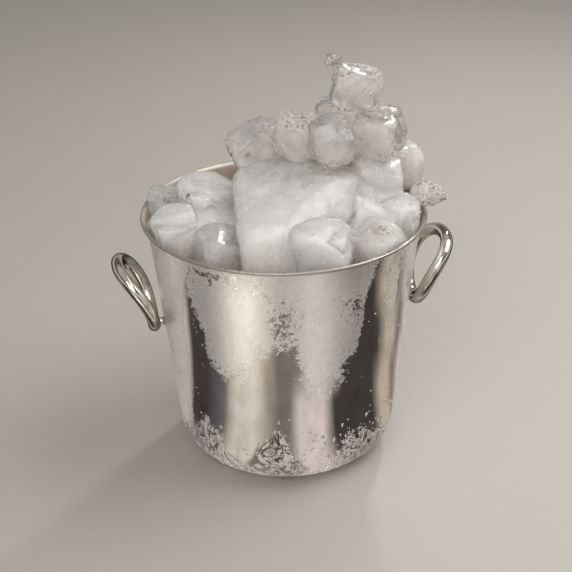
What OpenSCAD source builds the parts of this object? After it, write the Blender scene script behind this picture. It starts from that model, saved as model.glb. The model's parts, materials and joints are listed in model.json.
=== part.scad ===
// Silver-plated ice bucket with two loop handles, heaped with ice.
// Millimetres. The bucket stands on z = 0, its axis is Z, and the handles lie on the X axis.

/* [Bucket] */
// Diameter over the rim
rim_d = 200; // [180:5:220]
// Height from the table to the rim
body_h = 184; // [180:1:190]
// Lean of the straight wall from upright, in degrees
wall_lean = 6; // [5:0.5:7]
// Thickness of the spun wall
wall_t = 1.5; // [1:0.25:2]
// Outer radius of the turn from the base into the wall
base_turn_r = 28; // [22:1:30]
// Radius of the flare below the rim
flare_r = 125; // [100:5:150]
// How far the flare turns the wall outward, in degrees
flare_turn = 12; // [8:1:13]
// Diameter of the rolled edge at the rim
rim_bead_d = 2.4; // [2:0.2:3]
// Depth of the hollow under the base
base_hollow_h = 1.4; // [0.8:0.2:2]

/* [Handles] */
// Diameter of the handle rod
rod_d = 9; // [7:0.5:10]
// Length of the handle loop, along its curved middle plane
loop_l = 52; // [50:1:58]
// Width of the handle loop, between rod centres
loop_w = 48; // [40:1:52]
// Height of the rod's centre at the foot of the loop
loop_foot_z = 106; // [98:1:108]
// Distance from the bucket's axis to the rod's centre at the foot
loop_foot_x = 96; // [95:1:98]
// Mean lean of the loop away from the wall, in degrees
loop_lean = 25; // [15:1:30]
// How much the lean grows from the foot to the top, in degrees
loop_bend = 48; // [30:1:50]
// Diameter of the stud that joins the loop to the wall
stud_d = 4.6; // [4:0.2:6]
// Diameter of the solder fillet where the stud meets the wall
fillet_d = 9; // [7:0.5:11]

/* [Ice] */
// Turn of the whole heap about the bucket's axis, in degrees
heap_turn = -11; // [-11:1:-11]
// How strongly the melt has rounded the lumps, as a share of the diagonal
melt = 0.8; // [0.76:0.01:0.84]

/* [Hidden] */
eps = 0.01;
$fn = 96;
silver = [0.80, 0.77, 0.73];
bright_silver = [0.86, 0.84, 0.80];
ice_tint = [0.83, 0.86, 0.88];

// Lumps that show: name, centre, size, tilt. The heap rises to the right and to the back.
LUMPS = [
    ["ice_peak", [51, 22, 265], [30, 24, 27], [2, 14, 6]],
    ["ice_peak_chip", [34.5, 22, 283.5], [9, 8, 10], [20, 30, 35]],
    ["ice_neck", [40, 33, 237], [22, 20, 22], [0, -8, 20]],
    ["ice_barrel", [62.5, 8, 234], [26, 24, 26], [5, 8, -12]],
    ["ice_right_cap", [73, 38, 229], [24, 22, 28], [0, 10, 15]],
    ["ice_wedge", [33, -6, 235], [22, 23, 26], [6, -10, 12]],
    ["ice_upper_left", [11, 23, 229], [28, 26, 28], [-4, 8, -8]],
    ["ice_left_peak", [-20, 47, 215], [33, 24, 22], [0, -22, 18]],
    ["ice_core", [46, 62, 224], [34, 26, 30], [0, 5, 0]],
    ["ice_centre_left", [-9, -2, 191], [37, 35, 34], [4, -3, 8]],
    ["ice_centre_right", [30, -9, 195], [32, 34, 34], [-5, 4, -6]],
    ["ice_right", [63, 9.3, 200.5], [28, 32, 33], [3, 6, 6]],
    ["ice_right_back", [80, 45, 199], [28, 28, 26], [0, 4, 24]],
    ["ice_overhang", [100, -6, 198], [19, 16, 15], [15, 20, 30]],
    ["ice_right_rim", [76.5, -21, 180], [24, 26, 27], [0, 0, -10]],
    ["ice_right_mid", [54, -22, 181], [13, 20, 30], [0, 0, 10]],
    ["ice_front_right", [61, -50, 175], [27, 22, 26], [8, 6, -38]],
    ["ice_front_centre", [23, -64, 181], [33, 30, 34], [6, 4, -8]],
    ["ice_front_left", [-11, -64, 180], [27, 30, 32], [-4, -4, 6]],
    ["ice_front_clear", [-42, -57, 175], [26, 26, 28], [8, 6, 20]],
    ["ice_left", [-72, -29, 175], [27, 29, 30], [4, -8, 20]],
    ["ice_left_inner", [-42, -24, 178], [21, 20, 26], [6, 8, -10]],
    ["ice_left_mid", [-50, 7, 181], [36, 34, 34], [-4, 6, -10]],
    ["ice_left_clear", [-81, 19, 178], [19, 28, 26], [8, -12, -10]],
    ["ice_back_left", [-50, 46, 165], [34, 26, 24], [0, 8, 12]],
    ["ice_back_centre", [-8, 66, 178], [36, 30, 30], [0, 0, -4]],
    ["ice_back_right", [39, 62, 186], [33, 32, 32], [0, 0, 10]],
    ["ice_mid_back", [10, 34, 194], [30, 28, 30], [0, 0, 5]],
    ["ice_inner_left", [-9, -33, 174], [34, 20, 32], [0, 0, 0]],
    ["ice_inner_right", [27, -37, 170], [28, 16, 28], [0, 0, -8]],
    ["ice_inner_back", [44, 35, 188], [29, 18, 36], [0, 0, 0]],
    ["ice_inner_centre", [-18, 33, 183], [22, 28, 32], [0, 0, 0]]
];

// Packed layers below: name, height of the middle, lump height, outer ring and inner ring.
// A ring is the number of lumps, the radius they stand on, their width and their turn.
LAYERS = [
    ["ice_layer_1", 19, 30, [6, 41, 30, 0], [1, 0, 30, 30]],
    ["ice_layer_2", 54, 37, [7, 57, 35, 20], [2, 18, 34, 0]],
    ["ice_layer_3", 92, 37, [7, 60, 36, 45], [2, 19, 35, 70]],
    ["ice_layer_4", 130, 37, [7, 63, 37, 5], [2, 20, 36, 35]]
];

// ---- Bucket wall ----

// Centre and end points of the wall's outer line, from the base up.
turn_end = 90 - wall_lean;
flare_h = flare_r * (sin(wall_lean + flare_turn) - sin(wall_lean));
flare_x = flare_r * (cos(wall_lean) - cos(wall_lean + flare_turn));
wall_top = [rim_d / 2 - flare_x, body_h - flare_h];
turn_h = base_turn_r * (1 - cos(turn_end));
wall_foot_x = wall_top[0] - (wall_top[1] - turn_h) * tan(wall_lean);
base_flat_r = wall_foot_x - base_turn_r * sin(turn_end);
flare_centre = wall_top + flare_r * [cos(wall_lean), -sin(wall_lean)];
turn_steps = 14;
flare_steps = 8;

// Outer line of the wall, moved inward by the distance t.
function wall_line(t) = concat(
    [for (i = [0 : turn_steps]) let (a = turn_end * i / turn_steps)
        [base_flat_r, base_turn_r] + (base_turn_r - t) * [sin(a), -cos(a)]],
    [for (i = [0 : flare_steps]) let (a = wall_lean + flare_turn * i / flare_steps)
        flare_centre - (flare_r + t) * [cos(a), -sin(a)]]
);

function reversed(points) = [for (i = [len(points) - 1 : -1 : 0]) points[i]];

// The wall and floor as one closed outline, hollowed a little under the base.
module wall_outline() {
    hollow_r = base_flat_r - 6;
    rim_inset = rim_bead_d / 2;
    translate([-rim_inset, 0])
        polygon(concat(
            [[rim_inset, base_hollow_h], [hollow_r, base_hollow_h], [hollow_r + 3, 0]],
            wall_line(0),
            reversed(wall_line(wall_t)),
            [[hollow_r, wall_t + base_hollow_h], [rim_inset, wall_t + base_hollow_h]]
        ));
}

module bucket() {
    color(silver)
        rotate_extrude($fn = 180) {
            intersection() {
                wall_outline();
                square([rim_d, body_h]);
            }
            translate([rim_d / 2 - rim_bead_d / 2, body_h - rim_bead_d / 2])
                circle(d = rim_bead_d, $fn = 24);
        }
}

// ---- Handles ----

loop_steps = 56;
rod_sides = 14;
loop_squareness = 2.2;
loop_top_flare = 0.13;

function signed_power(v, p) = sign(v) * pow(abs(v), p);

// Along the loop: across is the distance to the side, along the distance up the curved plane.
function loop_along(s) = loop_l / 2 * (1 + signed_power(sin(s), 2 / loop_squareness));
function loop_across(s) = loop_w / 2 * signed_power(cos(s), 2 / loop_squareness)
    * (1 + loop_top_flare * (2 * loop_along(s) / loop_l - 1));

// The curved plane leans by loop_lean in the middle, and by more towards the top.
bend_rad = loop_bend * PI / 180;
function bow(along) = bend_rad * (along * along / (2 * loop_l) - along / 2);
function loop_out(along) = sin(loop_lean) * along + cos(loop_lean) * bow(along);
function loop_up(along) = cos(loop_lean) * along - sin(loop_lean) * bow(along);

function loop_point(s) = let (along = loop_along(s))
    [loop_foot_x + loop_out(along), loop_across(s), loop_foot_z + loop_up(along)];

function unit(v) = v / norm(v);

// Ring of points round the rod at the step i. The ring stands square to the centreline.
function rod_ring(i) =
    let (s = 360 * i / loop_steps + 3)
    let (p = loop_point(s))
    let (ahead = unit(loop_point(s + 2) - loop_point(s - 2)))
    let (side = unit(cross(ahead, p - [loop_foot_x + 14, 0, loop_foot_z + 26])))
    let (out = cross(side, ahead))
    [for (k = [0 : rod_sides - 1]) let (a = 360 * k / rod_sides)
        p + rod_d / 2 * (cos(a) * side + sin(a) * out)];

module loop_handle() {
    points = [for (i = [0 : loop_steps - 1]) each rod_ring(i)];
    faces = [
        for (i = [0 : loop_steps - 1], k = [0 : rod_sides - 1])
            let (here = i * rod_sides, next = (i + 1) % loop_steps * rod_sides)
            let (k2 = (k + 1) % rod_sides)
            each [[here + k, next + k, next + k2], [here + k, next + k2, here + k2]]
    ];
    polyhedron(points, faces);
}

// Straight stud, tenoned into the rod, with a cone of solder at the wall.
module stud() {
    wall_x = wall_foot_x + (loop_foot_z - turn_h) * tan(wall_lean);
    start_x = wall_x - 1;
    tenon = 1;
    reach = loop_foot_x - rod_d / 2 + tenon;
    difference() {
        translate([start_x, 0, loop_foot_z])
            rotate([0, 90, 0]) {
                cylinder(d = stud_d, h = reach - start_x, $fn = 32);
                cylinder(d1 = fillet_d, d2 = stud_d, h = 2.4, $fn = 48);
            }
        rotate_extrude($fn = 180)
            polygon(concat([[0, 0]], wall_line(0), [[0, body_h]]));
    }
}

module handle_left() {
    color(bright_silver) mirror([1, 0, 0]) loop_handle();
}

module handle_right() {
    color(bright_silver) loop_handle();
}

module stud_left() {
    color(bright_silver) mirror([1, 0, 0]) stud();
}

module stud_right() {
    color(bright_silver) stud();
}

// ---- Ice ----

// A block with its corners melted round.
module melted_block(size) {
    intersection() {
        cube(size, center = true);
        sphere(d = melt * norm(size), $fn = 64);
    }
}

module ice_lump(lump) {
    color(ice_tint)
        rotate([0, 0, heap_turn])
            translate(lump[1])
                rotate(lump[3])
                    melted_block(lump[2]);
}

module ice_ring(z, h, ring) {
    for (i = [0 : ring[0] - 1])
        rotate([0, 0, ring[3] + 360 * i / ring[0]])
            translate([ring[1], 0, z])
                melted_block([ring[2], ring[2], h]);
}

module ice_layer(layer) {
    color(ice_tint) {
        ice_ring(layer[1], layer[2], layer[3]);
        ice_ring(layer[1], layer[2], layer[4]);
    }
}

bucket();
handle_left();
handle_right();
stud_left();
stud_right();
for (lump = LUMPS)
    ice_lump(lump);
for (layer = LAYERS)
    ice_layer(layer);
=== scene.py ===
"""Silver-plated ice bucket with loop handles, fogged and wet, heaped with lumps of ice.

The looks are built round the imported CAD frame, in metres: the bucket stands on z = 0, its axis is
Z, the handles lie on the X axis, and the heap of ice rises to the right and to the back.
"""

import json
import math

import bmesh
import bpy
import numpy as np
from mathutils import Matrix, Vector


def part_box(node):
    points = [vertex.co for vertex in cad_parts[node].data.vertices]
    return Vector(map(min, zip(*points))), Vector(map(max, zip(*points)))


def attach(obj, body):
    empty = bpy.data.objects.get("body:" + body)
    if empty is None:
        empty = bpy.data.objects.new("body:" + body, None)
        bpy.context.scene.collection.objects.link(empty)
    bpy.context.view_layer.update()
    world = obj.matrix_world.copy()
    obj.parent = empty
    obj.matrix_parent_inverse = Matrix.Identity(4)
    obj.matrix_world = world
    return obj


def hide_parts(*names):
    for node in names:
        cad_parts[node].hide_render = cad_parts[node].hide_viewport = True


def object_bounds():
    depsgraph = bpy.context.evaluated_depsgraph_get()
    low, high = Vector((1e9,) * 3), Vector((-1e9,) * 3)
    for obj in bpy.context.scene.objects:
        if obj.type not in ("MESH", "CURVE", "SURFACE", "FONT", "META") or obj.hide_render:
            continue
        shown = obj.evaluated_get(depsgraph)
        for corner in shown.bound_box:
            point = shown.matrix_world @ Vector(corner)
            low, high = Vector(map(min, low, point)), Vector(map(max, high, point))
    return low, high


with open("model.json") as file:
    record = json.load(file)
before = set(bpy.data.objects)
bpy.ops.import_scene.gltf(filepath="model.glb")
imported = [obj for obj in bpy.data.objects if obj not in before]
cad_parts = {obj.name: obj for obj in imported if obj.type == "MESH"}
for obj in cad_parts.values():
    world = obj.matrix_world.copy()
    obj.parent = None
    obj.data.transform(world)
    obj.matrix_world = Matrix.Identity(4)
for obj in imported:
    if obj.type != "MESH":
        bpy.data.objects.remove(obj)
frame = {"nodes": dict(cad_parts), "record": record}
CAD_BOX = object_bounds()
MM = 0.001

# ---- Sizes, as in the CAD model ----
RIM_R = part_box("bucket")[1].x
BODY_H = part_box("bucket")[1].z
WALL_LEAN = math.radians(6)
WALL_T = 1.5 * MM
BASE_TURN_R = 28 * MM
FLARE_R = 125 * MM
FLARE_TURN = math.radians(12)
BEAD_R = 1.2 * MM
BASE_HOLLOW_H = 1.4 * MM
WAVINESS = 0.10 * MM
ICE_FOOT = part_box("ice_layer_1")[0].z

ROD_R = 4.5 * MM
LOOP_L = 52 * MM
LOOP_W = 48 * MM
LOOP_FOOT = Vector((96 * MM, 0, 106 * MM))
LOOP_LEAN = math.radians(25)
LOOP_BEND = math.radians(48)
LOOP_SQUARENESS = 2.2
LOOP_TOP_FLARE = 0.13
STUD_R = 2.3 * MM
FILLET_R = 4.5 * MM

# ---- View ----
VIEW_TURN = math.radians(10.8)
VIEW_ELEVATION = math.radians(27.33)
VIEW_ROLL = math.radians(-0.88)
VIEW_DISTANCE = 0.9084
# Where the middle of the rim stands from the middle of the view.
RIM_RIGHT = -1.6 * MM
RIM_UP = 53.7 * MM
LENS_MM = 81.8
SENSOR_MM = 36.0


# ---- Small helpers ----
def smooth(x, low, high):
    """0 below low, 1 above high, and a smooth step between them."""
    t = np.clip((x - low) / (high - low), 0, 1)
    return t * t * (3 - 2 * t)


def lattice_noise(points, size, seed):
    """Smooth noise from -1 to 1 at each point. size is the width of its features, in metres."""
    side = 24
    lattice = np.random.default_rng(seed).uniform(-1, 1, (side, side, side))
    p = np.asarray(points) / size + 1000.0
    cell = np.floor(p).astype(int)
    f = p - cell
    f = f * f * (3 - 2 * f)
    value = np.zeros(len(p))
    for corner in np.ndindex(2, 2, 2):
        weight = np.prod(np.where(np.array(corner) == 1, f, 1 - f), axis=1)
        i, j, k = ((cell + corner) % side).T
        value += weight * lattice[i, j, k]
    return value


def fractal(points, size, seed, octaves=4):
    """Noise with finer and finer detail, from about -1 to 1."""
    total = np.zeros(len(points))
    for octave in range(octaves):
        total += 0.5 ** octave * lattice_noise(points, size / 2 ** octave, seed + octave)
    return total / 1.5


def mesh_object(name, vertices, faces, material, smooth_shading=True):
    """A new object from points and faces, in the scene and with its material."""
    mesh = bpy.data.meshes.new(name)
    mesh.from_pydata([tuple(v) for v in vertices], [], [tuple(f) for f in faces])
    mesh.validate()
    mesh.update()
    mesh.polygons.foreach_set("use_smooth", [smooth_shading] * len(mesh.polygons))
    made = bpy.data.objects.new(name, mesh)
    bpy.context.scene.collection.objects.link(made)
    mesh.materials.append(material)
    return made


def set_attribute(made, name, values):
    """Stores one number for each vertex, for the material to read."""
    attribute = made.data.attributes.new(name, "FLOAT", "POINT")
    attribute.data.foreach_set("value", np.asarray(values, np.float32))


def grid_faces(rows, columns, wrap_rows=False):
    """Quads of a grid of rows x columns points whose columns close into rings."""
    faces = []
    for i in range(rows if wrap_rows else rows - 1):
        for j in range(columns):
            here, above = i * columns, (i + 1) % rows * columns
            right = (j + 1) % columns
            faces.append((here + j, here + right, above + right, above + j))
    return faces


# ---- Material nodes ----
class Nodes:
    """Adds nodes to a material, each with its inputs in one call."""

    def __init__(self, name):
        self.material = bpy.data.materials.new(name)
        self.material.use_nodes = True
        self.tree = self.material.node_tree
        self.tree.nodes.clear()
        self.output = self.tree.nodes.new("ShaderNodeOutputMaterial")

    def add(self, kind, inputs=None, **settings):
        node = self.tree.nodes.new("ShaderNode" + kind)
        for key, value in settings.items():
            setattr(node, key, value)
        for key, value in (inputs or {}).items():
            socket = node.inputs[key]
            if isinstance(value, bpy.types.NodeSocket):
                self.tree.links.new(value, socket)
            else:
                socket.default_value = value
        return node

    def math(self, operation, *values):
        node = self.add("Math", operation=operation)
        for socket, value in zip(node.inputs, values):
            if isinstance(value, bpy.types.NodeSocket):
                self.tree.links.new(value, socket)
            else:
                socket.default_value = value
        return node.outputs[0]

    def noise(self, vector, scale, detail=4, roughness=0.55, distortion=0.0):
        inputs = {"Vector": vector, "Scale": scale, "Detail": detail,
                  "Roughness": roughness, "Distortion": distortion}
        return self.add("TexNoise", inputs).outputs["Fac"]

    def voronoi(self, vector, scale, feature="F1", smoothness=0.0):
        node = self.add("TexVoronoi", {"Vector": vector, "Scale": scale}, feature=feature)
        if feature == "SMOOTH_F1":
            node.inputs["Smoothness"].default_value = smoothness
        return node.outputs["Distance"]

    def stretch(self, vector, scale):
        return self.add("Mapping", {"Vector": vector, "Scale": scale}).outputs[0]

    def step(self, value, low, high, to_low=0.0, to_high=1.0):
        inputs = {"Value": value, "From Min": low, "From Max": high,
                  "To Min": to_low, "To Max": to_high}
        return self.add("MapRange", inputs, interpolation_type="SMOOTHSTEP").outputs[0]

    def mix_colour(self, fac, a, b):
        node = self.add("Mix", data_type="RGBA")
        for key, value in ((0, fac), (6, a), (7, b)):
            if isinstance(value, bpy.types.NodeSocket):
                self.tree.links.new(value, node.inputs[key])
            else:
                node.inputs[key].default_value = value
        return node.outputs[2]

    def bump(self, height, strength, distance, normal=None):
        inputs = {"Height": height, "Strength": strength, "Distance": distance}
        if normal:
            inputs["Normal"] = normal
        return self.add("Bump", inputs).outputs[0]

    def attribute(self, name):
        return self.add("Attribute", attribute_name=name).outputs["Fac"]

    def coordinates(self):
        return self.add("TexCoord").outputs["Object"]

    def surface(self, shader):
        self.tree.links.new(shader.outputs[0], self.output.inputs["Surface"])
        return self.material


def rgb(r, g, b):
    """An opaque colour."""
    return (r, g, b, 1.0)


# ---- Materials ----
def fog_cover(m, place, frost):
    """Where the wall is fogged: ragged at the edge, with islands and fine specks left clean."""
    ragged = m.noise(place, 230, detail=7, roughness=0.72, distortion=0.5)
    islands = m.noise(m.stretch(place, (1, 1, 0.65)), 70, detail=6, roughness=0.7, distortion=1.0)
    fine = m.noise(place, 1000, detail=3, roughness=0.6)
    edge = frost
    for pattern, strength in ((ragged, 1.5), (fine, 0.9), (islands, 1.5)):
        edge = m.math("ADD", edge, m.math("MULTIPLY", m.math("SUBTRACT", pattern, 0.5), strength))
    fog = m.step(edge, 0.46, 0.55)
    specks = m.step(m.noise(place, 620, detail=2), 0.60, 0.66)
    thin = m.step(m.math("ADD", m.math("SUBTRACT", 1.0, frost), m.noise(place, 45, detail=3)), 0.52, 0.95)
    fog = m.math("SUBTRACT", fog, m.math("MULTIPLY", fog, m.math("MULTIPLY", specks, thin)))
    return fog, ragged


def melt_runs(m, place, wet):
    """Crumpled patches of water and melting frost near the foot, parted by thin veins."""
    crumple = m.noise(place, 105, detail=8, roughness=0.72, distortion=0.3)
    veins = m.noise(m.stretch(place, (1, 1, 0.7)), 60, detail=5, distortion=2.2)
    vein = m.math("ABSOLUTE", m.math("SUBTRACT", veins, 0.5))
    vein = m.step(m.math("ADD", vein, m.step(m.noise(place, 40), 0.5, 0.6, 0.0, 0.1)), 0.02, 0.05)
    patch = m.math("MULTIPLY", m.math("SUBTRACT", crumple, 0.5), 2.4)
    run = m.step(m.math("ADD", wet, patch), 0.46, 0.56)
    return m.math("MULTIPLY", run, vein), vein, crumple


def plate_colour(m, place, covered, ragged):
    """Clean and fogged silver, both a little stained."""
    cloudy = m.noise(place, 30, detail=4)
    stain = m.step(m.noise(m.stretch(place, (1, 1, 0.5)), 48, detail=6, roughness=0.65), 0.48, 0.78)
    half_stain = m.math("MULTIPLY", stain, 0.5)
    clean = m.mix_colour(cloudy, rgb(0.84, 0.80, 0.77), rgb(0.92, 0.90, 0.875))
    clean = m.mix_colour(half_stain, clean, rgb(0.55, 0.475, 0.41))
    fogged = m.mix_colour(m.step(ragged, 0.3, 0.7), rgb(0.88, 0.85, 0.82), rgb(0.98, 0.965, 0.94))
    fogged = m.mix_colour(half_stain, fogged, rgb(0.66, 0.585, 0.53))
    return m.mix_colour(covered, clean, fogged)


def foot_painted_reflection_and_patches(m, place, wet, vein, colour):
    """Painted dark reflection along the veins, and darker patches, both only where the foot is wet."""
    # The vein lines are painted dark brown: painted dark reflection where clean metal shows between the
    # melt runs.
    painted_dark_reflection = m.math("MULTIPLY", m.math("SUBTRACT", 1.0, vein), m.step(wet, 0.35, 0.75))
    colour = m.mix_colour(m.math("MULTIPLY", painted_dark_reflection, 0.85), colour, rgb(0.20, 0.165, 0.14))
    # Darker patches where the foot is wet; the roughness is not changed there.
    darker_patch = m.step(m.noise(m.stretch(place, (1, 1, 0.6)), 85, detail=6, roughness=0.7), 0.52, 0.60)
    darker_patch = m.math("MULTIPLY", darker_patch, m.step(wet, 0.3, 0.8))
    return m.mix_colour(m.math("MULTIPLY", darker_patch, 0.55), colour, rgb(0.34, 0.29, 0.26))


def fogged_silver():
    """Silver plate, part polished and part fogged, from the attributes frost, wet, inside and rim."""
    m = Nodes("fogged_silver")
    place = m.coordinates()
    wet, inside = m.attribute("wet"), m.attribute("inside")
    fog, ragged = fog_cover(m, place, m.attribute("frost"))
    run, vein, crumple = melt_runs(m, place, wet)
    either = m.math("MAXIMUM", fog, run)
    streaks = m.step(m.noise(m.stretch(place, (1, 1, 0.3)), 120, detail=6, roughness=0.65), 0.35, 0.85)

    colour = plate_colour(m, place, either, ragged)
    # Painted dark reflection along the veins at the foot, and darker patches where it is wet.
    colour = foot_painted_reflection_and_patches(m, place, wet, vein, colour)
    # The rolled rim is painted dark brown: painted shade that draws the rim as a dark line.
    colour = m.mix_colour(m.math("MULTIPLY", m.attribute("rim"), 0.75), colour, rgb(0.26, 0.22, 0.19))
    # Inside, the wall is a darker brown than outside, varied in long upright streaks.
    inner = m.mix_colour(streaks, rgb(0.47, 0.395, 0.32), rgb(0.60, 0.52, 0.44))
    colour = m.mix_colour(inside, colour, inner)
    metallic = m.math("SUBTRACT", 1.0, m.math("MULTIPLY", either, 0.30))
    metallic = m.math("SUBTRACT", metallic, m.math("MULTIPLY", inside, 0.25))
    rough = m.math("ADD", m.math("MULTIPLY", streaks, 0.10), 0.06)
    rough = m.math("ADD", rough, m.math("MULTIPLY", m.math("MAXIMUM", fog, inside), 0.24))
    rough = m.math("ADD", rough, m.math("MULTIPLY", run, 0.08))

    beads = m.voronoi(place, 1200, feature="SMOOTH_F1", smoothness=0.4)
    normal = m.bump(m.math("MULTIPLY", m.math("SUBTRACT", 1.0, beads), fog), 0.28, 0.0005)
    normal = m.bump(m.math("MULTIPLY", crumple, run), 0.8, 0.005, normal)
    normal = m.bump(m.noise(m.stretch(place, (1, 1, 0.35)), 22, detail=2), 0.10, 0.004, normal)
    shader = m.add("BsdfPrincipled", {
        "Base Color": colour, "Metallic": metallic, "Roughness": rough, "Normal": normal,
        "IOR": 1.33,
    })
    return m.surface(shader)


def polished_silver():
    """Silver of the handles: bright, with fine wear and a faint warm tarnish."""
    m = Nodes("polished_silver")
    place = m.coordinates()
    wear = m.noise(place, 160, detail=6, roughness=0.6)
    tarnish = m.step(m.noise(place, 60, detail=4), 0.45, 0.8)
    colour = m.mix_colour(m.math("MULTIPLY", tarnish, 0.7), rgb(0.78, 0.73, 0.67), rgb(0.20, 0.165, 0.135))
    rough = m.step(wear, 0.3, 0.8, 0.045, 0.15)
    normal = m.bump(m.noise(place, 90, detail=3), 0.05, 0.002)
    shader = m.add("BsdfPrincipled", {
        "Base Color": colour, "Metallic": 1.0, "Roughness": rough, "Normal": normal,
        "Specular Tint": (0.30, 0.27, 0.24, 1.0),
    })
    return m.surface(shader)


def ice(name, clarity, milk):
    """Ice. clarity is the share of light that goes straight through, milk how white it is."""
    m = Nodes(name)
    place = m.coordinates()
    height = m.add("SeparateXYZ", {0: place}).outputs["Z"]
    clouds = m.noise(place, 60, detail=5, roughness=0.6, distortion=0.4)
    veins = m.noise(place, 240, detail=6, roughness=0.7, distortion=1.2)
    crazing = m.voronoi(place, 190)
    edge = m.add("LayerWeight", {"Blend": 0.3}).outputs["Facing"]
    clear = m.step(clouds, 0.35, 0.7, clarity - 0.08, clarity + 0.08)
    clear = m.math("ADD", clear, m.step(height, 0.200, 0.240, 0.0, 0.50))
    clear = m.math("ADD", clear, m.math("MULTIPLY", edge, 0.2))
    clear = m.math("MINIMUM", m.math("MAXIMUM", clear, 0.0), 0.97)
    white = min(1.0, milk * 1.02)
    colour = m.mix_colour(m.step(veins, 0.35, 0.65), rgb(milk, milk * 0.96, milk * 0.925),
                          rgb(white, white * 0.97, white * 0.94))
    rough = m.step(m.noise(place, 130, detail=5), 0.35, 0.7, 0.08, 0.34)
    relief = m.math("ADD", m.math("MULTIPLY", veins, 0.6), m.math("MULTIPLY", crazing, 0.35))
    normal = m.bump(relief, 0.16, 0.0010)
    shader = m.add("BsdfPrincipled", {
        "Base Color": colour, "Roughness": rough, "IOR": 1.31, "Normal": normal,
        "Transmission Weight": clear, "Subsurface Weight": 1.0, "Subsurface Scale": 0.05,
        "Subsurface Radius": (1.0, 1.0, 1.0), "Coat Weight": 0.3, "Coat Roughness": 0.05,
    })
    return m.surface(shader)


def water():
    """Clear drops of condensed water, with a little ripple."""
    m = Nodes("water")
    place = m.coordinates()
    rough = m.step(m.noise(place, 300), 0.3, 0.7, 0.0, 0.06)
    shader = m.add("BsdfPrincipled", {
        "Base Color": rgb(0.97, 0.98, 0.98), "Roughness": rough, "IOR": 1.33,
        "Transmission Weight": 1.0,
    })
    return m.surface(shader)


def pale_floor():
    """The plain studio floor, with a faint grain."""
    m = Nodes("pale_floor")
    place = m.coordinates()
    tone = m.noise(place, 3.0, detail=3)
    grain = m.noise(place, 180, detail=4)
    colour = m.mix_colour(m.math("MULTIPLY", m.math("ADD", tone, grain), 0.5),
                          rgb(0.425, 0.40, 0.37), rgb(0.48, 0.455, 0.425))
    shader = m.add("BsdfPrincipled", {"Base Color": colour, "Roughness": 0.55})
    return m.surface(shader)


# ---- Camera, lights and floor ----
def camera():
    """The camera at the photograph's viewing angle, a little turned from the handles' axis."""
    turn = Matrix.Rotation(-VIEW_TURN, 3, "Z")
    ahead = turn @ Vector((0, math.cos(VIEW_ELEVATION), -math.sin(VIEW_ELEVATION)))
    level = turn @ Vector((1, 0, 0))
    upright = level.cross(ahead)
    right = level * math.cos(VIEW_ROLL) + upright * math.sin(VIEW_ROLL)
    up = -level * math.sin(VIEW_ROLL) + upright * math.cos(VIEW_ROLL)
    place = Vector((0, 0, BODY_H)) - VIEW_DISTANCE * ahead - RIM_RIGHT * right - RIM_UP * up
    data = bpy.data.cameras.new("camera")
    data.lens = LENS_MM
    data.sensor_width = SENSOR_MM
    data.clip_end = 100
    made = bpy.data.objects.new("camera", data)
    bpy.context.scene.collection.objects.link(made)
    axes = Matrix((right, up, -ahead)).transposed().to_4x4()
    made.matrix_world = Matrix.Translation(place) @ axes
    bpy.context.scene.camera = made
    return made


def soft_light(name, place, aim, size, power, colour):
    """A rectangular light turned to its aim. size is in metres and power in watts."""
    data = bpy.data.lights.new(name, "AREA")
    data.shape = "RECTANGLE"
    data.size, data.size_y = size
    data.energy = power
    data.color = colour
    made = bpy.data.objects.new(name, data)
    bpy.context.scene.collection.objects.link(made)
    made.location = place
    made.rotation_euler = (Vector(aim) - Vector(place)).to_track_quat("-Z", "Y").to_euler()
    made.visible_camera = False
    return made


def studio_world():
    """A soft, slightly warm surround: pale at the horizon, dark above it and mid-toned overhead."""
    world = bpy.data.worlds.new("studio")
    bpy.context.scene.world = world
    world.use_nodes = True
    tree = world.node_tree
    tree.nodes.clear()
    output = tree.nodes.new("ShaderNodeOutputWorld")
    background = tree.nodes.new("ShaderNodeBackground")
    ramp = tree.nodes.new("ShaderNodeValToRGB")
    split = tree.nodes.new("ShaderNodeSeparateXYZ")
    coordinates = tree.nodes.new("ShaderNodeTexCoord")
    tree.links.new(coordinates.outputs["Generated"], split.inputs[0])
    tree.links.new(split.outputs["Z"], ramp.inputs[0])
    tree.links.new(ramp.outputs[0], background.inputs[0])
    tree.links.new(background.outputs[0], output.inputs[0])
    tones = [(0.0, 0.74), (0.22, 0.66), (0.38, 0.16), (0.60, 0.12), (0.75, 0.50), (1.0, 0.42)]
    while len(ramp.color_ramp.elements) < len(tones):
        ramp.color_ramp.elements.new(0.5)
    for element, (height, tone) in zip(ramp.color_ramp.elements, tones):
        element.position = height
        element.color = (tone, tone * 0.975, tone * 0.94, 1)
    background.inputs["Strength"].default_value = 0.95


# What the metal sees round the bucket. Angles are of the wall that shows it, from the viewer's side.
# Times REFLECTION_SPREAD they are the angles of the floor that is seen there.
REFLECTION_SPREAD = 1.59
CREAM, PINK, BEIGE = (1.05, 1.02, 0.90), (0.70, 0.62, 0.585), (0.50, 0.43, 0.35)
ROSE, MID, DUSK = (0.37, 0.315, 0.28), (0.20, 0.175, 0.16), (0.13, 0.115, 0.105)
BLUISH, DARK = (0.10, 0.095, 0.11), (0.055, 0.048, 0.045)
REFLECTIONS = [
    (-113, DUSK), (-104, MID), (-94, DUSK), (-86, ROSE), (-66, ROSE), (-57, PINK), (-52, DARK),
    (-42, DARK), (-36, BLUISH), (-31, MID), (-24, CREAM), (-16, CREAM), (-10, BEIGE), (-4, MID),
    (1, MID), (6, PINK), (11, PINK), (17, PINK), (23, DARK), (46, DARK), (53, BEIGE), (60, BEIGE),
    (66, MID), (80, PINK), (94, DUSK), (104, BEIGE), (113, DUSK),
]
REFLECTION_PLACES = [angle * REFLECTION_SPREAD for angle, _ in REFLECTIONS]
CARD_RADII = [0.03, 0.06, 0.075, 0.09, 0.12, 0.16, 0.20, 0.24, 0.28, 0.34, 0.40, 0.50, 0.8, 2.5]
CARD_COLUMNS = 720
CARD_H = 0.3 * MM


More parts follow.
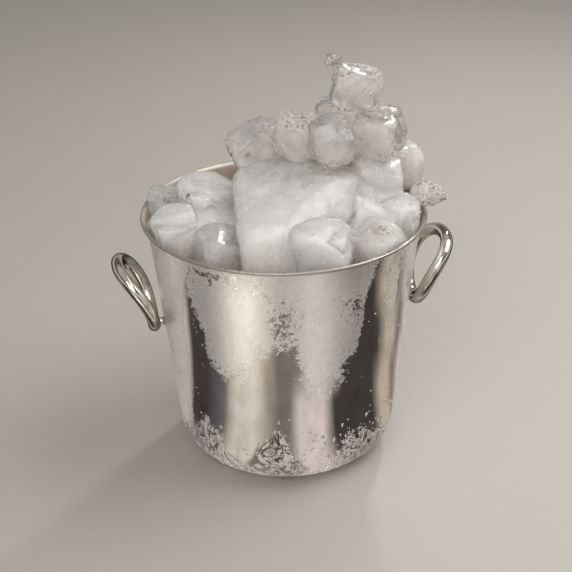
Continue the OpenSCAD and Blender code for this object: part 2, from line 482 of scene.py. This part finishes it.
def card_tint(radius, angle):
    """Colour of the cards at a place on the floor. angle is from the viewer's side."""
    cream_gain = float(np.interp(radius, (0.13, 0.20, 0.25), (0.58, 0.72, 1.6)))
    beige_edge = 6.5 * math.exp(-((radius - 0.22) / 0.035) ** 2)
    shown = math.degrees(angle)
    if shown > 0:
        shown -= beige_edge * REFLECTION_SPREAD
    tint = [np.interp(shown, REFLECTION_PLACES, [c[i] for _, c in REFLECTIONS]) for i in range(3)]
    gain = 1 + (cream_gain - 1) * math.exp(-((shown / REFLECTION_SPREAD + 20) / 11) ** 2)
    tint = [t * gain for t in tint]
    far = float(smooth(radius, 0.36, 0.48)) * 0.85
    card = 0.9 * math.exp(-((shown - 32) / 15) ** 2) + 0.9 * math.exp(-((shown + 28) / 15) ** 2)
    tint = [t * (1 - far) + far * (0.08 + card) * w for t, w in zip(tint, (1.0, 0.94, 0.86))]
    near = 0.6 * float(smooth(radius, 0.10, 0.07))
    return [t * (1 - near) + near * p for t, p in zip(tint, PINK)] + [1.0]


def card_glow():
    """A one-sided soft glow in the tint of each place."""
    m = Nodes("reflector_cards")
    tint = m.add("Attribute", attribute_name="tint").outputs["Color"]
    grain = m.noise(m.coordinates(), 40, detail=4)
    glow = m.add("Emission", {"Color": tint, "Strength": m.step(grain, 0.2, 0.8, 0.85, 1.1)})
    clear = m.add("BsdfTransparent")
    back = m.add("NewGeometry").outputs["Backfacing"]
    return m.surface(m.add("MixShader", {0: back, 1: glow.outputs[0], 2: clear.outputs[0]}))


def reflector_cards():
    """Black, white and tinted cards laid round the bucket. Only polished surfaces see them."""
    view_side = -math.pi / 2 - VIEW_TURN
    points, tints = [], []
    for radius in CARD_RADII:
        for j in range(CARD_COLUMNS):
            angle = 2 * math.pi * j / CARD_COLUMNS - math.pi
            turn = view_side + angle
            points.append((radius * math.cos(turn), radius * math.sin(turn), CARD_H))
            tints += card_tint(radius, angle)
    faces = [f[::-1] for f in grid_faces(len(CARD_RADII), CARD_COLUMNS)]
    made = mesh_object("reflector_cards", points, faces, card_glow())
    made.data.attributes.new("tint", "FLOAT_COLOR", "POINT").data.foreach_set("color", tints)
    made.visible_camera = False
    made.visible_diffuse = False
    made.visible_shadow = False
    made.visible_transmission = False
    made.visible_volume_scatter = False
    return made


def floor():
    """A round disc of floor that reaches past the view."""
    columns, radius = 96, 14.0
    points = [(0, 0, 0)] + [(radius * math.cos(2 * math.pi * j / columns),
                             radius * math.sin(2 * math.pi * j / columns), 0) for j in range(columns)]
    faces = [(0, 1 + j, 1 + (j + 1) % columns) for j in range(columns)]
    return mesh_object("floor", points, faces, pale_floor())


# ---- Bucket ----
def arc(centre, radius, start, end, steps):
    """Points on an arc. Angles are in radians from the +r direction."""
    angles = np.linspace(start, end, steps + 1)
    return [(centre[0] + radius * math.cos(a), centre[1] + radius * math.sin(a)) for a in angles]


def wall_measures():
    """Where the wall's straight part begins and ends, and the centre of the flare."""
    flare_h = FLARE_R * (math.sin(WALL_LEAN + FLARE_TURN) - math.sin(WALL_LEAN))
    flare_x = FLARE_R * (math.cos(WALL_LEAN) - math.cos(WALL_LEAN + FLARE_TURN))
    top_r, top_z = RIM_R - BEAD_R - flare_x, BODY_H - flare_h
    turn_h = BASE_TURN_R * (1 - math.sin(WALL_LEAN))
    foot_r = top_r - (top_z - turn_h) * math.tan(WALL_LEAN)
    base_r = foot_r - BASE_TURN_R * math.cos(WALL_LEAN)
    flare_centre = (top_r + FLARE_R * math.cos(WALL_LEAN), top_z - FLARE_R * math.sin(WALL_LEAN))
    return base_r, flare_centre


def wall_line(inset, steps=40):
    """The wall's line from the base up to the rim, moved inward by inset from the outside."""
    base_r, flare_centre = wall_measures()
    turn = arc((base_r, BASE_TURN_R), BASE_TURN_R - inset, -math.pi / 2, -WALL_LEAN, steps)
    flare_start = math.pi - WALL_LEAN
    flare = arc(flare_centre, FLARE_R + inset, flare_start, flare_start - FLARE_TURN, steps // 2)
    straight = [tuple(np.array(turn[-1]) + t * (np.array(flare[0]) - np.array(turn[-1])))
                for t in np.linspace(0, 1, 90)[1:-1]]
    return turn + straight + flare


def inner_radius(z):
    """Radius of the inside of the wall at each height."""
    line = np.array(wall_line(WALL_T))
    return np.interp(z, line[:, 1], line[:, 0])


def bucket_outline():
    """The whole section as a closed line: underside, outer wall, rolled rim, inner wall, floor."""
    base_r, _ = wall_measures()
    bead_centre = (RIM_R - BEAD_R, BODY_H - BEAD_R)
    outer = [p for p in wall_line(0) if p[1] < BODY_H - 1.9 * BEAD_R]
    inner = [p for p in wall_line(WALL_T) if p[1] < BODY_H - 1.2 * BEAD_R]
    bead = arc(bead_centre, BEAD_R, math.radians(-70), math.radians(140), 14)
    hollow_r = base_r - 7 * MM
    underside = [(0.2 * MM, BASE_HOLLOW_H), (hollow_r * 0.5, BASE_HOLLOW_H),
                 (hollow_r - 1 * MM, BASE_HOLLOW_H), (hollow_r + 1 * MM, 0.7 * MM), (hollow_r + 3 * MM, 0)]
    floor_z = WALL_T + BASE_HOLLOW_H
    inside = [(hollow_r + 2 * MM, WALL_T + 0.6 * MM), (hollow_r, floor_z), (hollow_r * 0.5, floor_z),
              (0.2 * MM, floor_z)]
    return underside + outer + bead, inner[::-1] + inside


# Lower edge of the frost on the wall: angle from the viewer's side, and height in mm.
FROST_EDGE = [
    (-180, 120), (-160, 80), (-140, 105), (-125, 150), (-112, 158), (-98, 60), (-80, -10), (-58, 5),
    (-52, 70), (-49, 130), (-45, 156), (-40, 146), (-36, 114), (-30, 101), (-20, 99), (-14, 104),
    (-11, 120), (-5, 127), (2, 126), (7, 108), (10, 92), (18, 88), (24, 94), (30, 100), (33, 112),
    (35, 140), (37, 176), (41, 200), (54, 200), (66, 150), (80, 70), (95, 40), (115, 90), (132, 150),
    (150, 160), (165, 138), (180, 120),
]
# Upper edge of the water and melting frost round the foot: angle, and height in mm.
WET_EDGE = [
    (-180, 35), (-120, 50), (-60, 28), (-45, 46), (-34, 34), (-24, 16), (-14, 40), (-4, 58), (3, 34),
    (12, 12), (22, 18), (32, 40), (45, 36), (60, 26), (120, 48), (180, 35),
]
# Thinner frost (-) or added frost (+): angle, height, half sizes, in degrees and mm, and strength.
FROST_PATCHES = [
    (-1, 146, 9, 14, -0.55), (4, 120, 5, 12, -0.3), (-8, 165, 6, 5, -0.42), (-8, 128, 5, 8, 0.25),
    (30, 150, 5, 10, -0.6), (22, 158, 4, 5, -0.35), (30, 168, 20, 10, 0.28), (-43, 127, 2.5, 9, 0.62),
    (-41, 98, 3, 8, 0.62), (-45, 70, 2, 10, 0.5), (-60, 90, 9, 60, -0.25), (-28, 116, 9, 14, 0.25),
    (56, 120, 6, 18, 0.32), (160, 60, 10, 20, 0.4), (51, 154, 6, 32, 1.2), (-32, 174, 12, 7, -0.42),
    (-12, 178, 14, 5, -0.25),
]


def frost_amount(angle, z):
    """How fogged the wall is: about 1 in the frost, 0 in the clean metal and 0.5 at its edge."""
    lowest = np.interp(angle, *zip(*FROST_EDGE))
    amount = 0.5 + np.clip((z / MM - lowest) / 44, -0.75, 0.42)
    for patch_angle, patch_z, half_angle, half_z, strength in FROST_PATCHES:
        across = (angle - patch_angle + 180) % 360 - 180
        amount += strength * np.exp(-(across / half_angle) ** 2 - ((z / MM - patch_z) / half_z) ** 2)
    return amount


def bucket():
    """The shell, turned from its outline, with where it is fogged, wet, inside or rim stored on it."""
    outer, inner = bucket_outline()
    outline = np.array(outer + inner)
    columns = 384
    angles = np.linspace(0, 2 * math.pi, columns, endpoint=False)
    r, z = np.repeat(outline[:, 0], columns), np.repeat(outline[:, 1], columns)
    a = np.tile(angles, len(outline))
    points = np.stack([r * np.cos(a), r * np.sin(a), z], axis=1)
    dent = lattice_noise(np.stack([points[:, 0], points[:, 1], points[:, 2] * 0.6], axis=1), 30 * MM, 5)
    in_wall = smooth(z, 12 * MM, 40 * MM) * (1 - smooth(z, BODY_H - 22 * MM, BODY_H - 6 * MM))
    out = np.stack([np.cos(a), np.sin(a), 0 * a], axis=1)
    points += out * (WAVINESS * dent * in_wall)[:, None]
    made = mesh_object("bucket_shell", points, grid_faces(len(outline), columns), fogged_silver())
    view_side = -90 - math.degrees(VIEW_TURN)
    from_view = (np.degrees(a) - view_side + 180) % 360 - 180
    macro = fractal(points, 26 * MM, 11)
    set_attribute(made, "frost", frost_amount(from_view, z) + 0.22 * macro)
    wet = 0.5 + np.clip((np.interp(from_view, *zip(*WET_EDGE)) - z / MM) / 24, -0.6, 0.8)
    set_attribute(made, "wet", wet + 0.28 * lattice_noise(points, 17 * MM, 3))
    on_bead = np.hypot(r - (RIM_R - BEAD_R), z - (BODY_H - BEAD_R)) < 1.15 * BEAD_R
    set_attribute(made, "rim", on_bead * 1.0)
    set_attribute(made, "inside", np.repeat(np.arange(len(outline)) >= len(outer), columns) * 1.0)
    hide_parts("bucket")
    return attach(made, "bucket")


# ---- Handles ----
def signed_power(value, power):
    """The value's size to a power, with its sign kept."""
    return math.copysign(abs(value) ** power, value)


def loop_point(s):
    """Centre of the rod at the angle s round the loop of the right handle."""
    along = LOOP_L / 2 * (1 + signed_power(math.sin(s), 2 / LOOP_SQUARENESS))
    across = LOOP_W / 2 * signed_power(math.cos(s), 2 / LOOP_SQUARENESS)
    across *= 1 + LOOP_TOP_FLARE * (2 * along / LOOP_L - 1)
    bow = LOOP_BEND * (along * along / (2 * LOOP_L) - along / 2)
    out = math.sin(LOOP_LEAN) * along + math.cos(LOOP_LEAN) * bow
    up = math.cos(LOOP_LEAN) * along - math.sin(LOOP_LEAN) * bow
    return LOOP_FOOT + Vector((out, across, up))


def handle(node, side, material):
    """One closed loop of round rod. side is 1 on the right and -1 on the left."""
    rings, sides = 200, 32
    raw = [loop_point(2 * math.pi * i / rings + 0.05) for i in range(rings)]
    line = [(raw[i - 1] + raw[i] * 2 + raw[(i + 1) % rings]) / 4 for i in range(rings)]
    middle = sum(line, Vector()) / rings
    points = []
    for i, p in enumerate(line):
        ahead = (line[(i + 1) % rings] - line[i - 1]).normalized()
        across = ahead.cross(p - middle).normalized()
        outward = across.cross(ahead)
        for k in range(sides):
            turn = 2 * math.pi * k / sides
            q = p + (ROD_R * 0.995) * (math.cos(turn) * across + math.sin(turn) * outward)
            points.append((side * q.x, q.y, q.z))
    faces = grid_faces(rings, sides, wrap_rows=True)
    if side > 0:
        faces = [f[::-1] for f in faces]
    made = mesh_object(node + "_rod", points, faces, material)
    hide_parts(node)
    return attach(made, "bucket")


def stud(node, side, material):
    """The pin between wall and rod, with a hollow fillet of solder."""
    z = LOOP_FOOT.z
    wall_x = float(np.interp(z, *np.array(wall_line(0))[:, ::-1].T))
    start, end = wall_x - 0.4 * MM, LOOP_FOOT.x - ROD_R + 0.6 * MM
    columns, rings = 40, 16
    points = []
    for i in range(rings + 1):
        t = i / rings
        radius = STUD_R + (FILLET_R - STUD_R) * (1 - t) ** 4
        x = start + (end - start) * t
        for k in range(columns):
            turn = 2 * math.pi * k / columns
            points.append((side * x, radius * math.cos(turn), z + radius * math.sin(turn)))
    faces = grid_faces(rings + 1, columns)
    faces += [tuple(range(columns))[::-1], tuple(range(rings * columns, (rings + 1) * columns))]
    if side < 0:
        faces = [f[::-1] for f in faces]
    made = mesh_object(node + "_pin", points, faces, material)
    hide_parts(node)
    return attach(made, "bucket")


# ---- Ice ----
def remeshed(points_mesh, voxel):
    """A copy of the mesh as an even net of quads."""
    source = bpy.data.objects.new("remesh_source", points_mesh)
    bpy.context.scene.collection.objects.link(source)
    modifier = source.modifiers.new("remesh", "REMESH")
    modifier.mode = "VOXEL"
    modifier.voxel_size = voxel
    graph = bpy.context.evaluated_depsgraph_get()
    result = bpy.data.meshes.new_from_object(source.evaluated_get(graph))
    bpy.data.objects.remove(source)
    return result


def coordinates_of(mesh):
    """The mesh's vertices as an array with a row for each."""
    values = np.zeros(len(mesh.vertices) * 3)
    mesh.vertices.foreach_get("co", values)
    return values.reshape(-1, 3)


def set_coordinates(mesh, points):
    """Moves the mesh's vertices to the rows of an array."""
    mesh.vertices.foreach_set("co", np.asarray(points).ravel())
    mesh.update()


def normals_of(mesh):
    """The normals at the mesh's vertices, a row for each."""
    values = np.zeros(len(mesh.vertices) * 3)
    mesh.vertices.foreach_get("normal", values)
    return values.reshape(-1, 3)


def melt(mesh, rounds):
    """Draws every vertex toward the middle of its neighbours, which rounds the edges."""
    edges = np.zeros(len(mesh.edges) * 2, int)
    mesh.edges.foreach_get("vertices", edges)
    a, b = edges.reshape(-1, 2).T
    ends, others = np.concatenate([a, b]), np.concatenate([b, a])
    points = coordinates_of(mesh)
    count = np.bincount(ends, minlength=len(points))
    for _ in range(rounds):
        total = [np.bincount(ends, points[others, i], minlength=len(points)) for i in range(3)]
        points = 0.3 * points + 0.7 * np.stack(total, axis=1) / count[:, None]
    set_coordinates(mesh, points)


def cut(points, centre, facing, depth):
    """Flattens the lump against a plane that takes off a share of its depth on that side."""
    along = (points - centre) @ facing
    return points - np.outer(np.maximum(along - along.max() * (1 - depth), 0) * 0.96, facing)


def chip(points, centre, seed, cuts, depth):
    """Flattens the lump against a few planes, as a break leaves it."""
    rng = np.random.default_rng(seed)
    for _ in range(cuts):
        facing = rng.normal(size=3)
        facing /= np.linalg.norm(facing)
        points = cut(points, centre, facing, depth * rng.uniform(0.4, 1.0))
    return points


def keep_inside(points):
    """Moves points that would pass through the bucket's wall, rim or floor back inside it."""
    gap, over_rim, spread = 0.5 * MM, 1.0 * MM, 2.0
    r = np.hypot(points[:, 0], points[:, 1])
    above = np.maximum(points[:, 2] - BODY_H - over_rim, 0)
    limit = inner_radius(points[:, 2]) - gap + spread * above
    scale = np.where(r > limit, limit / np.maximum(r, 1e-9), 1.0)
    points[:, :2] *= scale[:, None]
    points[:, 2] = np.maximum(points[:, 2], ICE_FOOT)
    return points


LUMP_VOXEL = 0.9 * MM
LAYER_VOXEL = 1.6 * MM
CHIP_DEPTH = 0.30
# Refrozen melt joins the lumps whose foot is below BRIDGE_TOP, apart from those unbridged.
BRIDGE_VOXEL = 1.6 * MM
BRIDGE_REACH = 8 * MM
BRIDGE_SINKS = (1.9 * MM, 1.8 * MM, 1.3 * MM)
BRIDGE_TOP = 0.200
UNBRIDGED = ("ice_back_left", "ice_overhang", "ice_left_clear", "ice_front_clear", "ice_left_mid")
MASS_VOXEL = 1.2 * MM
MASS_LUMPS = ("ice_centre_left", "ice_centre_right", "ice_front_left")
MASS_GROWTH = 5.5 * MM

# Each kind of ice: the share of light that goes straight through, and how white it is.
ICE_KINDS = {
    "milky_ice": (0.24, 0.985), "clear_ice": (0.48, 0.985), "dense_ice": (0.30, 0.935),
    "crystal_ice": (0.10, 0.985),
}

# How each lump is worked: swell, cuts, depth of crystals, rounds of melting. Others are "usual".
LUMP_LOOKS = {
    "usual": (1.34, 4, 0.6, 14), "ice_left_mid": (1.46, 4, 1.3, 5), "ice_upper_left": (1.16, 5, 1.4, 4),
    "ice_wedge": (1.22, 2, 1.0, 6), "ice_barrel": (1.14, 0, 0.5, 14), "ice_neck": (1.25, 5, 1.0, 6),
    "ice_peak": (1.06, 1, 1.0, 3), "ice_peak_chip": (0.98, 10, 2.6, 0),
    "ice_overhang": (1.06, 8, 2.6, 0), "ice_right_cap": (1.10, 4, 1.2, 6),
    "ice_left_peak": (1.16, 3, 1.5, 3), "ice_right_back": (1.18, 2, 0.6, 14),
    "ice_core": (1.35, 3, 0.6, 10), "ice_centre_left": (1.15, 1, 0.25, 40),
    "ice_centre_right": (1.15, 1, 0.25, 40), "ice_right": (1.28, 1, 0.4, 26),
    "ice_front_centre": (1.32, 2, 0.4, 30), "ice_front_left": (1.15, 2, 0.3, 40),
    "ice_front_clear": (1.25, 0, 0.8, 12), "ice_left_clear": (1.22, 5, 1.2, 6),
    "ice_back_left": (1.0, 4, 1.0, 8), "ice_left": (1.30, 3, 0.6, 14),
}
LAYER_LOOKS = (1.02, 0, 1.0, 2)
# Further cuts that give a lump its outline: the way each cut faces, and its share of the depth.
LUMP_CUTS = {
    "ice_left_peak": [((-0.62, -0.2, 0.76), 0.40), ((-0.55, -0.2, -0.81), 0.30), ((0.75, 0, 0.66), 0.2)],
    "ice_left_mid": [((0.1, 0, 1), 0.30), ((0.42, -0.1, 0.9), 0.40), ((-0.95, -0.3, -0.1), 0.42)],
    "ice_front_left": [((-0.1, 0.35, 0.93), 0.20), ((-0.7, -0.2, 0.7), 0.2)],
    "ice_front_centre": [((0.15, 0.4, 0.9), 0.22)],
    "ice_centre_left": [((-0.3, 0.3, 0.9), 0.2)],
    "ice_centre_right": [((0.3, -0.5, 0.8), 0.22)],
    "ice_wedge": [((-0.85, -0.2, -0.5), 0.30), ((0.85, -0.2, -0.5), 0.25)],
    "ice_upper_left": [((0.7, -0.2, 0.7), 0.25), ((-0.8, -0.3, -0.5), 0.25)],
    "ice_overhang": [((0.6, 0, 0.8), 0.3), ((0.5, 0, -0.86), 0.35)],
    "ice_right_cap": [((0.8, -0.2, 0.55), 0.2)],
    "ice_right": [((0.4, -0.4, 0.8), 0.18)],
    "ice_left": [((-0.2, -0.5, 0.84), 0.25)],
    "ice_left_clear": [((0.1, 0.2, 0.95), 0.35)],
}
# Clusters of small crystals: lump, place in its box from 0 to 1, spread in the same shares, count.
CRYSTALS = [
    ("ice_peak", (0.45, 0.1, 1.0), (0.45, 0.1, 0.04), 24),
    ("ice_peak", (0.1, 0.1, 0.05), (0.2, 0.2, 0.1), 10),
    ("ice_peak_chip", (0.5, 0.2, 0.6), (0.6, 0.6, 0.6), 36),
    ("ice_left_peak", (0.1, 0.2, 0.4), (0.25, 0.2, 0.15), 60),
    ("ice_upper_left", (0.5, 0.1, 1.0), (0.4, 0.2, 0.08), 26),
    ("ice_upper_left", (0.6, 0.0, 0.0), (0.4, 0.1, 0.1), 12),
    ("ice_wedge", (0.5, 0.0, 0.15), (0.3, 0.1, 0.15), 16),
    ("ice_overhang", (0.5, 0.2, 0.5), (0.7, 0.7, 0.7), 110),
    ("ice_right_cap", (0.8, 0.0, 0.6), (0.2, 0.3, 0.4), 30),
    ("ice_front_right", (0.6, 0.4, 1.0), (0.2, 0.2, 0.05), 40),
    ("ice_left_mid", (0.3, 0.1, 1.0), (0.5, 0.2, 0.06), 14),
    ("ice_left_inner", (0.4, 0.0, 0.7), (0.5, 0.2, 0.3), 16),
    ("ice_front_clear", (0.9, 0.1, 0.5), (0.2, 0.3, 0.4), 26),
    ("ice_right_mid", (0.5, 0.1, 0.9), (0.6, 0.3, 0.3), 20),
    ("ice_left_clear", (0.5, 0.2, 0.9), (0.3, 0.2, 0.1), 24),
    ("ice_right_rim", (0.5, 0.1, 0.9), (0.5, 0.2, 0.1), 24),
    ("ice_back_right", (0.6, 0.8, 0.9), (0.5, 0.3, 0.2), 40),
    ("ice_core", (0.5, 1.0, 0.5), (0.5, 0.1, 0.5), 50),
    ("ice_barrel", (0.5, 0.0, 0.05), (0.3, 0.1, 0.08), 8),
    ("ice_centre_right", (0.0, 0.0, 1.0), (0.2, 0.1, 0.1), 10),
]


def ice_object(name, mesh, material):
    """Puts a worked mesh in the scene as a piece that rides the ice."""
    mesh.materials.clear()
    mesh.materials.append(material)
    mesh.polygons.foreach_set("use_smooth", [True] * len(mesh.polygons))
    made = bpy.data.objects.new(name, mesh)
    bpy.context.scene.collection.objects.link(made)
    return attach(made, "ice")


def ice_lump(node, seed, material, voxel, looks):
    """The node's own solid, swollen, chipped, cut, melted and ridged."""
    swell, cuts, rough, melted = looks
    source = frame["nodes"][node].data.copy()
    points = coordinates_of(source)
    centre = (points.min(axis=0) + points.max(axis=0)) / 2
    set_coordinates(source, centre + (points - centre) * swell)
    mesh = remeshed(source, voxel)
    points = chip(coordinates_of(mesh), centre, seed, cuts, CHIP_DEPTH)
    for facing, depth in LUMP_CUTS.get(node, ()):
        points = cut(points, centre, np.array(facing) / np.linalg.norm(facing), depth)
    set_coordinates(mesh, points)
    melt(mesh, melted)
    points, normals = coordinates_of(mesh), normals_of(mesh)
    ridged = 1 - np.abs(fractal(points, 7 * MM, seed + 50, 3))
    patchy = smooth(lattice_noise(points, 12 * MM, seed + 9) + 0.7 * normals[:, 2], 0.25, 0.85)
    crystals = np.abs(lattice_noise(points, 2.2 * MM, seed + 70)) * patchy
    height = 2.1 * fractal(points, 19 * MM, seed, 3) + 0.35 * (ridged - 0.6) + 0.5 * rough * crystals
    set_coordinates(mesh, keep_inside(points + normals * (height * MM)[:, None]))
    made = ice_object(node + "_lump", mesh, material)
    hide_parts(node)
    return made


def grown(node, growth):
    """Points and faces of the node's solid, every side moved out by about the growth."""
    source = frame["nodes"][node].data
    own = coordinates_of(source)
    centre = (own.min(axis=0) + own.max(axis=0)) / 2
    reach = (own.max(axis=0) - own.min(axis=0)).mean() / 2
    return centre + (own - centre) * (1 + growth / reach), [tuple(p.vertices) for p in source.polygons]


def frozen_piece(name, mesh, relief, seed, material):
    """Refrozen melt: the mesh with soft lumps and faint ridges, kept inside the wall."""
    points = coordinates_of(mesh)
    ridges = np.abs(lattice_noise(points, 3.2 * MM, seed + 10))
    height = relief * fractal(points, 11 * MM, seed, 3) + 0.35 * ridges
    set_coordinates(mesh, keep_inside(points + normals_of(mesh) * (height * MM)[:, None]))
    return ice_object(name, mesh, material)


def frozen_bridges(nodes, material):
    """Fills the creases between the lumps: all of them grown, joined, then drawn back in."""
    points, faces = [], []
    for node in nodes:
        own, own_faces = grown(node, BRIDGE_REACH)
        faces += [tuple(len(points) + v for v in face) for face in own_faces]
        points += [tuple(p) for p in own]
    joined = bpy.data.meshes.new("joined_lumps")
    joined.from_pydata(points, [], faces)
    mesh = remeshed(joined, BRIDGE_VOXEL)
    for sink in BRIDGE_SINKS:
        melt(mesh, 6)
        set_coordinates(mesh, coordinates_of(mesh) - normals_of(mesh) * sink)
    return frozen_piece("ice_frozen_bridges", mesh, 0.7, 400, material)


def frozen_mass(nodes, material):
    """The lumps in the middle have frozen into one smooth block, which this wraps round them."""
    wrap = bmesh.new()
    for node in nodes:
        points, _ = grown(node, MASS_GROWTH)
        for point in points:
            wrap.verts.new(point)
    hull = bmesh.ops.convex_hull(wrap, input=wrap.verts)
    bmesh.ops.delete(wrap, geom=list(set(hull["geom_interior"] + hull["geom_unused"])), context="VERTS")
    wrapped = bpy.data.meshes.new("wrapped_lumps")
    wrap.to_mesh(wrapped)
    wrap.free()
    mesh = remeshed(wrapped, MASS_VOXEL)
    melt(mesh, 24)
    return frozen_piece("ice_frozen_mass", mesh, 1.3, 430, material)


def crystals(lumps, material):
    """Small sharp splinters of ice, half sunk in the lumps that they grow from."""
    rng = np.random.default_rng(77)
    sides = 5
    points, faces = [], []
    for node, share, spread, count in CRYSTALS:
        low, high = (np.array(c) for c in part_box(node))
        skin, skin_normals = coordinates_of(lumps[node].data), normals_of(lumps[node].data)
        for _ in range(count):
            place = low + (high - low) * (np.array(share) + np.array(spread) * rng.uniform(-1, 1, 3))
            nearest = int(np.argmin(((skin - place) ** 2).sum(axis=1)))
            foot, normal = Vector(skin[nearest]), Vector(skin_normals[nearest])
            size = rng.uniform(0.5, 1.7) * MM
            axis = (normal + Vector(rng.uniform(-0.9, 0.9, 3))).normalized()
            side = axis.orthogonal().normalized()
            other = axis.cross(side)
            first = len(points)
            ring = []
            for k in range(sides):
                turn = 2 * math.pi * (k + rng.uniform(-0.3, 0.3)) / sides
                width = size * rng.uniform(0.5, 1.0)
                ring.append(foot + width * (math.cos(turn) * side + math.sin(turn) * other)
                            + axis * size * rng.uniform(-0.1, 0.3))
            shard = ring + [foot + axis * size * rng.uniform(0.5, 1.3), foot - axis * size]
            shard = keep_inside(np.array([tuple(p) for p in shard]))
            shard[:, 2] = np.minimum(shard[:, 2], CAD_BOX[1][2] - 0.5 * MM)
            points += [tuple(p) for p in shard]
            for k in range(sides):
                k2 = (k + 1) % sides
                faces.append((first + k, first + k2, first + sides))
                faces.append((first + k2, first + k, first + sides + 1))
    made = mesh_object("ice_crystals", points, faces, material, smooth_shading=False)
    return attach(made, "ice")


def heap():
    """All the ice: each lump, the melt that joins them, the block in the middle and the crystals."""
    kinds = {name: ice(name, clarity, milk) for name, (clarity, milk) in ICE_KINDS.items()}
    slots = {row["node"]: row["material_slot"] for row in frame["record"]["subparts"]}
    nodes = [n for n in sorted(slots) if n.startswith("ice_")]
    layers = [n for n in nodes if n.startswith("ice_layer")]
    lumps = {}
    for place, node in enumerate(nodes):
        looks = LAYER_LOOKS if node in layers else LUMP_LOOKS.get(node, LUMP_LOOKS["usual"])
        voxel = LAYER_VOXEL if node in layers else LUMP_VOXEL
        slot = slots[node]
        lumps[node] = ice_lump(node, place * 7 + 1, kinds[slot], voxel, looks)
    low = [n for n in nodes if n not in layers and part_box(n)[0].z < BRIDGE_TOP]
    frozen_bridges([n for n in low if n not in UNBRIDGED], kinds["milky_ice"])
    frozen_mass(MASS_LUMPS, kinds["dense_ice"])
    crystals(lumps, kinds["crystal_ice"])


# ---- Drops of water on the wall ----
DROP_COUNT = 900
DROP_H = 0.6


def drops():
    """Beads of condensed water, thickest near the foot of the wall."""
    rng = np.random.default_rng(21)
    line = np.array(wall_line(0))
    dome = [(math.cos(t), math.sin(t)) for t in np.radians([0, 30, 60])]
    sides = 10
    points, faces = [], []
    for _ in range(DROP_COUNT):
        low = rng.uniform() < 0.7
        z = rng.triangular(4, 12, 55) * MM if low else rng.uniform(20, 165) * MM
        r = float(np.interp(z, line[:, 1], line[:, 0]))
        angle = rng.uniform(0, 2 * math.pi)
        size = (rng.uniform(0.35, 1.0) ** 2) * (1.5 if low else 1.0) * MM
        slope = (float(np.interp(z + MM, line[:, 1], line[:, 0])) - r) / MM
        out = Vector((math.cos(angle), math.sin(angle), -slope)).normalized()
        side = Vector((-math.sin(angle), math.cos(angle), 0))
        up = out.cross(side)
        foot = Vector((r * math.cos(angle), r * math.sin(angle), z)) - out * (0.12 * size)
        first = len(points)
        tall = rng.uniform(1.0, 1.9) if low else rng.uniform(0.9, 1.2)
        for across, height in dome:
            for k in range(sides):
                turn = 2 * math.pi * k / sides
                spread = across * math.cos(turn) * side + tall * across * math.sin(turn) * up
                points.append(foot + size * (spread + DROP_H * height * out))
        top = len(points)
        points.append(foot + size * DROP_H * out)
        for i in range(len(dome) - 1):
            for k in range(sides):
                here, above = first + i * sides, first + (i + 1) * sides
                k2 = (k + 1) % sides
                faces.append((here + k, above + k, above + k2, here + k2))
        last = first + (len(dome) - 1) * sides
        faces += [(last + k, top, last + (k + 1) % sides) for k in range(sides)]
        faces.append(tuple(first + k for k in range(sides)))
    made = mesh_object("condensation_drops", points, faces, water())
    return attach(made, "bucket")


# ---- Scene ----
camera()
studio_world()
soft_light("key", (0.75, -0.10, 1.15), (0, 0, 0.18), (1.0, 1.0), 10.5, (1.0, 0.98, 0.95))
soft_light("fill", (-0.45, -1.05, 0.95), (0, 0, 0.15), (0.9, 0.9), 8.5, (1.0, 0.97, 0.94))
soft_light("glint", (0.55, 0.80, 0.85), (0, 0, 0.2), (0.10, 0.10), 3.5, (1.0, 0.95, 0.88))
floor()
reflector_cards()

bucket()
handle_silver = polished_silver()
for side_name, side_sign in (("left", -1), ("right", 1)):
    handle("handle_" + side_name, side_sign, handle_silver)
    stud("stud_" + side_name, side_sign, handle_silver)
heap()
drops()

bpy.context.scene.view_settings.view_transform = "Standard"
cycles = bpy.context.scene.cycles
cycles.max_bounces = 24
cycles.diffuse_bounces = 14
cycles.transmission_bounces = 16
cycles.glossy_bounces = 8
